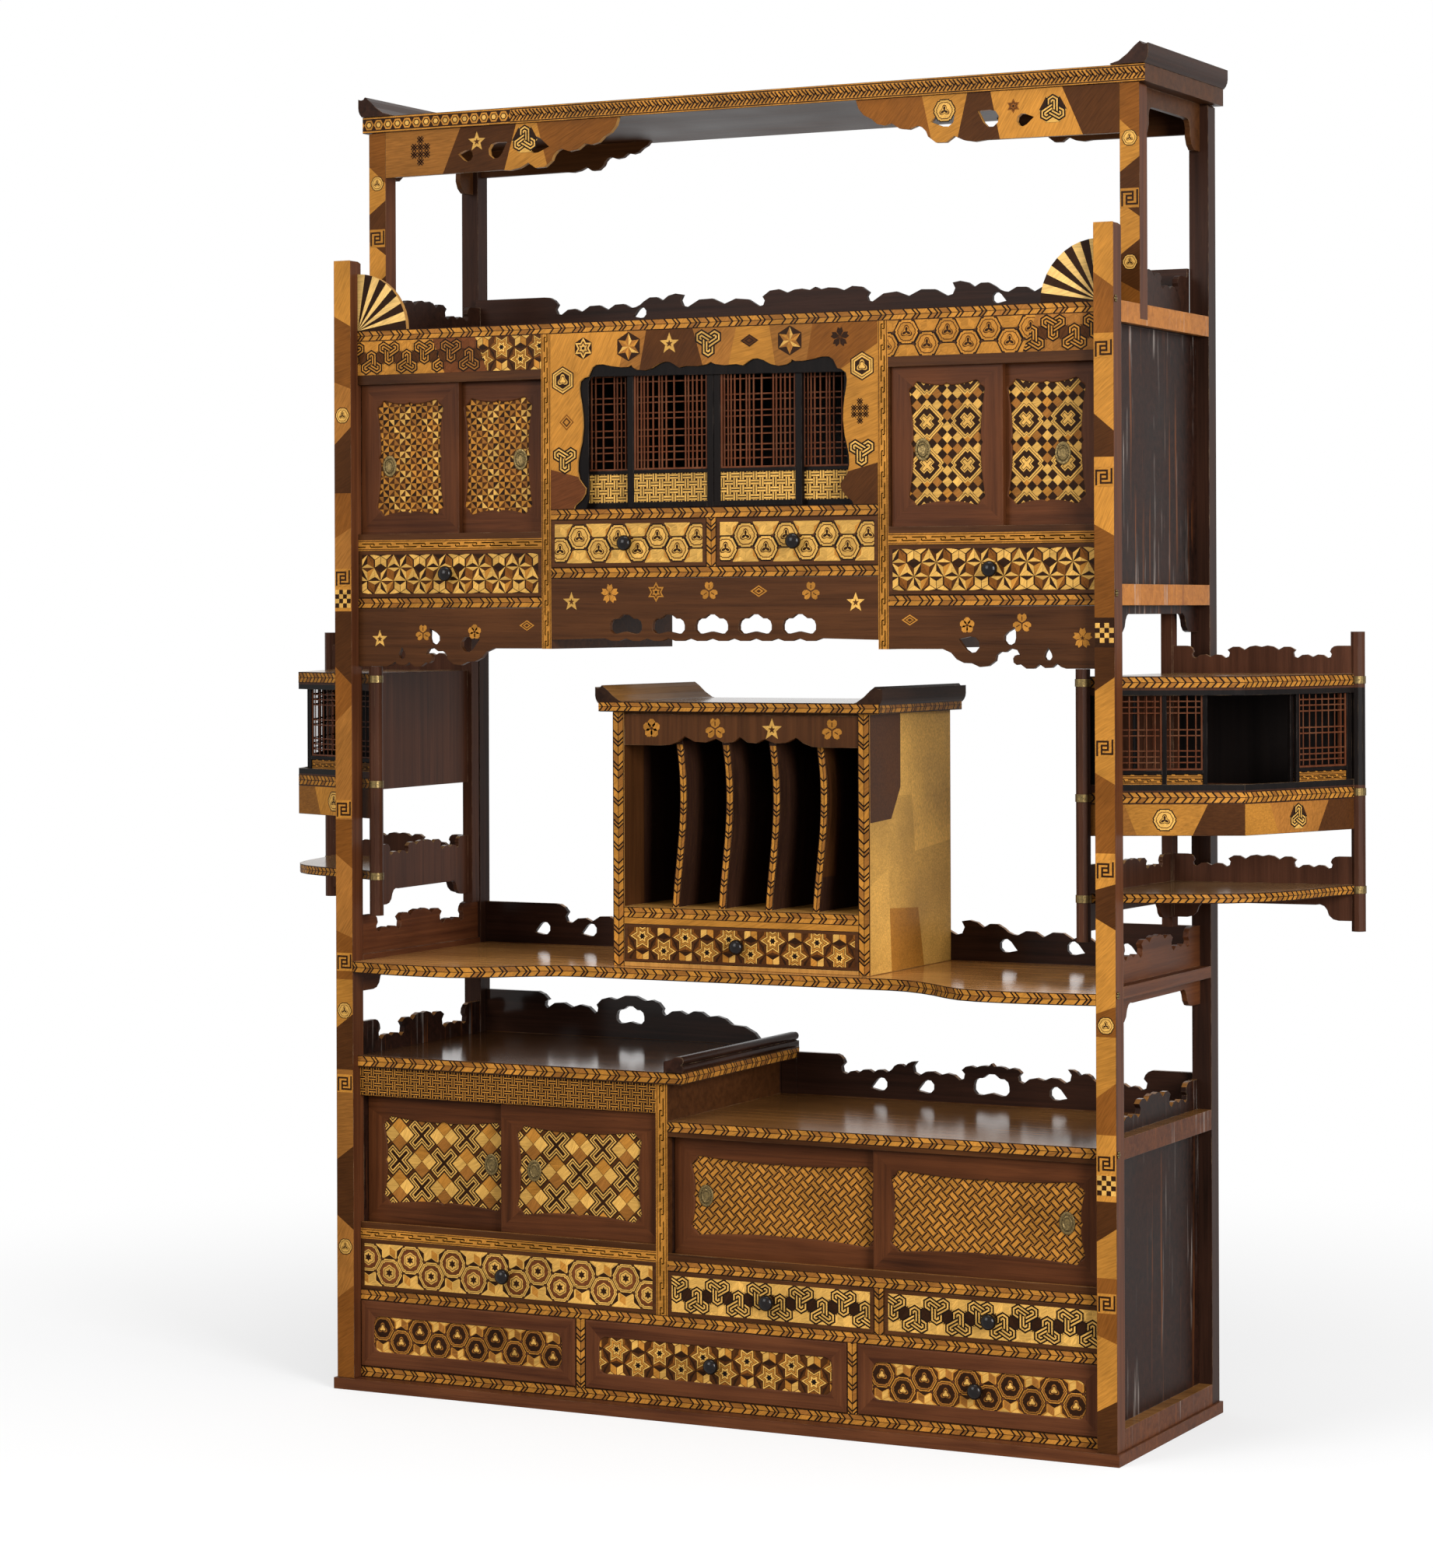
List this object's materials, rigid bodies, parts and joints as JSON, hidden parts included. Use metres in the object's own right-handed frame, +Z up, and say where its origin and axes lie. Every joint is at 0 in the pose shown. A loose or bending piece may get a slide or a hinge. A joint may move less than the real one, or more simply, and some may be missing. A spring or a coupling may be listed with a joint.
{
  "type": "shelf cabinet",
  "caption": "Tall marquetry display cabinet with open shelves, drawers, sliding doors, lattice screens, a pigeon-hole box on the middle shelf and corner wing shelves.",
  "frame": {"origin": "on the floor, in the middle of the cabinet's width and depth", "axes": "+Z up, -Y towards the front with the drawers and doors, +X towards the low right half"},
  "size_m": [1.662, 0.4178, 1.8718],
  "materials": {
    "wood_dark": "dark oiled wood, worn",
    "wood_black": "ebonised wood",
    "wood_brown": "satin brown wood",
    "wood_red": "satin reddish wood",
    "wood_light": "satin pale veneer",
    "wood_honey": "satin honey veneer"
  },
  "bodies": {
    "cabinet": {"base_plinth": "wood_red", "front_post_left": "wood_honey", "front_post_right": "wood_honey", "rear_post_left": "wood_dark", "rear_post_right": "wood_dark", "upper_post_left": "wood_honey", "upper_post_right": "wood_honey", "top_shelf": "wood_brown", "top_scroll_left": "wood_black", "top_scroll_right": "wood_black", "top_bracket_left": "wood_honey", "top_bracket_right": "wood_honey", "upper_case": "wood_dark", "upper_apron_left": "wood_brown", "upper_apron_centre": "wood_brown", "upper_apron_right": "wood_brown", "fan_left": "wood_light", "fan_right": "wood_light", "window_frame": "wood_honey", "upper_crest": "wood_dark", "middle_shelf": "wood_honey", "middle_side_left": "wood_red", "middle_side_right": "wood_red", "kiosk_case": "wood_honey", "kiosk_top": "wood_light", "lower_case": "wood_dark", "lower_left_top": "wood_brown", "wing_left": "wood_red", "wing_right": "wood_red"},
    "bottom_drawer_left": {"bottom_drawer_left": "wood_brown"},
    "bottom_drawer_centre": {"bottom_drawer_centre": "wood_brown"},
    "bottom_drawer_right": {"bottom_drawer_right": "wood_brown"},
    "lower_left_drawer": {"lower_left_drawer": "wood_honey"},
    "lower_right_drawer_a": {"lower_right_drawer_a": "wood_honey"},
    "lower_right_drawer_b": {"lower_right_drawer_b": "wood_honey"},
    "kiosk_drawer": {"kiosk_drawer": "wood_honey"},
    "upper_left_drawer": {"upper_left_drawer": "wood_honey"},
    "upper_right_drawer": {"upper_right_drawer": "wood_honey"},
    "centre_drawer_left": {"centre_drawer_left": "wood_honey"},
    "centre_drawer_right": {"centre_drawer_right": "wood_honey"},
    "lower_left_door_left": {"lower_left_door_left": "wood_brown"},
    "lower_left_door_right": {"lower_left_door_right": "wood_brown"},
    "lower_right_door_left": {"lower_right_door_left": "wood_brown"},
    "lower_right_door_right": {"lower_right_door_right": "wood_brown"},
    "upper_left_door_left": {"upper_left_door_left": "wood_brown"},
    "upper_left_door_right": {"upper_left_door_right": "wood_brown"},
    "upper_right_door_left": {"upper_right_door_left": "wood_brown"},
    "upper_right_door_right": {"upper_right_door_right": "wood_brown"},
    "screen_1": {"screen_1": "wood_black"},
    "screen_2": {"screen_2": "wood_black"},
    "screen_3": {"screen_3": "wood_black"},
    "screen_4": {"screen_4": "wood_black"},
    "wing_right_panel_1": {"wing_right_panel_1": "wood_black"},
    "wing_right_panel_2": {"wing_right_panel_2": "wood_black"},
    "wing_right_panel_3": {"wing_right_panel_3": "wood_black"},
    "wing_right_panel_4": {"wing_right_panel_4": "wood_black"},
    "wing_left_panel_1": {"wing_left_panel_1": "wood_black"},
    "wing_left_panel_2": {"wing_left_panel_2": "wood_black"},
    "wing_left_panel_3": {"wing_left_panel_3": "wood_black"},
    "wing_left_panel_4": {"wing_left_panel_4": "wood_black"}
  },
  "joints": [
    {"name": "bottom_drawer_left_slide", "type": "slide", "parent": "cabinet", "child": "bottom_drawer_left", "axis": [0, -1, 0], "range_m": [0, 0.22]},
    {"name": "bottom_drawer_centre_slide", "type": "slide", "parent": "cabinet", "child": "bottom_drawer_centre", "axis": [0, -1, 0], "range_m": [0, 0.22]},
    {"name": "bottom_drawer_right_slide", "type": "slide", "parent": "cabinet", "child": "bottom_drawer_right", "axis": [0, -1, 0], "range_m": [0, 0.22]},
    {"name": "lower_left_drawer_slide", "type": "slide", "parent": "cabinet", "child": "lower_left_drawer", "axis": [0, -1, 0], "range_m": [0, 0.22]},
    {"name": "lower_right_drawer_a_slide", "type": "slide", "parent": "cabinet", "child": "lower_right_drawer_a", "axis": [0, -1, 0], "range_m": [0, 0.22]},
    {"name": "lower_right_drawer_b_slide", "type": "slide", "parent": "cabinet", "child": "lower_right_drawer_b", "axis": [0, -1, 0], "range_m": [0, 0.22]},
    {"name": "kiosk_drawer_slide", "type": "slide", "parent": "cabinet", "child": "kiosk_drawer", "axis": [0, -1, 0], "range_m": [0, 0.17]},
    {"name": "upper_left_drawer_slide", "type": "slide", "parent": "cabinet", "child": "upper_left_drawer", "axis": [0, -1, 0], "range_m": [0, 0.22]},
    {"name": "upper_right_drawer_slide", "type": "slide", "parent": "cabinet", "child": "upper_right_drawer", "axis": [0, -1, 0], "range_m": [0, 0.22]},
    {"name": "centre_drawer_left_slide", "type": "slide", "parent": "cabinet", "child": "centre_drawer_left", "axis": [0, -1, 0], "range_m": [0, 0.22]},
    {"name": "centre_drawer_right_slide", "type": "slide", "parent": "cabinet", "child": "centre_drawer_right", "axis": [0, -1, 0], "range_m": [0, 0.22]},
    {"name": "lower_left_door_left_slide", "type": "slide", "parent": "cabinet", "child": "lower_left_door_left", "axis": [1, 0, 0], "range_m": [0, 0.228]},
    {"name": "lower_left_door_right_slide", "type": "slide", "parent": "cabinet", "child": "lower_left_door_right", "axis": [1, 0, 0], "range_m": [-0.228, 0]},
    {"name": "lower_right_door_left_slide", "type": "slide", "parent": "cabinet", "child": "lower_right_door_left", "axis": [1, 0, 0], "range_m": [0, 0.309]},
    {"name": "lower_right_door_right_slide", "type": "slide", "parent": "cabinet", "child": "lower_right_door_right", "axis": [1, 0, 0], "range_m": [-0.309, 0]},
    {"name": "upper_left_door_left_slide", "type": "slide", "parent": "cabinet", "child": "upper_left_door_left", "axis": [1, 0, 0], "range_m": [0, 0.138]},
    {"name": "upper_left_door_right_slide", "type": "slide", "parent": "cabinet", "child": "upper_left_door_right", "axis": [1, 0, 0], "range_m": [-0.138, 0]},
    {"name": "upper_right_door_left_slide", "type": "slide", "parent": "cabinet", "child": "upper_right_door_left", "axis": [1, 0, 0], "range_m": [0, 0.138]},
    {"name": "upper_right_door_right_slide", "type": "slide", "parent": "cabinet", "child": "upper_right_door_right", "axis": [1, 0, 0], "range_m": [-0.138, 0]},
    {"name": "screen_1_slide", "type": "slide", "parent": "cabinet", "child": "screen_1", "axis": [1, 0, 0], "range_m": [0, 0.115]},
    {"name": "screen_2_slide", "type": "slide", "parent": "cabinet", "child": "screen_2", "axis": [1, 0, 0], "range_m": [-0.117, 0]},
    {"name": "screen_3_slide", "type": "slide", "parent": "cabinet", "child": "screen_3", "axis": [1, 0, 0], "range_m": [0, 0.117]},
    {"name": "screen_4_slide", "type": "slide", "parent": "cabinet", "child": "screen_4", "axis": [1, 0, 0], "range_m": [-0.115, 0]},
    {"name": "wing_right_panel_1_slide", "type": "slide", "parent": "cabinet", "child": "wing_right_panel_1", "axis": [0.9032, 0.4292, 0], "range_m": [0, 0.09]},
    {"name": "wing_right_panel_2_slide", "type": "slide", "parent": "cabinet", "child": "wing_right_panel_2", "axis": [0.9032, 0.4292, 0], "range_m": [-0.045, 0.036]},
    {"name": "wing_right_panel_3_slide", "type": "slide", "parent": "cabinet", "child": "wing_right_panel_3", "axis": [0.3541, 0.9352, 0], "range_m": [-0.099, 0]},
    {"name": "wing_right_panel_4_slide", "type": "slide", "parent": "cabinet", "child": "wing_right_panel_4", "axis": [0.3541, 0.9352, 0], "range_m": [-0.093, 0]},
    {"name": "wing_left_panel_1_slide", "type": "slide", "parent": "cabinet", "child": "wing_left_panel_1", "axis": [-0.9032, 0.4292, 0], "range_m": [0, 0.09]},
    {"name": "wing_left_panel_2_slide", "type": "slide", "parent": "cabinet", "child": "wing_left_panel_2", "axis": [-0.9032, 0.4292, 0], "range_m": [-0.08, 0]},
    {"name": "wing_left_panel_3_slide", "type": "slide", "parent": "cabinet", "child": "wing_left_panel_3", "axis": [-0.3541, 0.9352, 0], "range_m": [-0.099, 0]},
    {"name": "wing_left_panel_4_slide", "type": "slide", "parent": "cabinet", "child": "wing_left_panel_4", "axis": [-0.3541, 0.9352, 0], "range_m": [0, 0.093]}
  ]
}
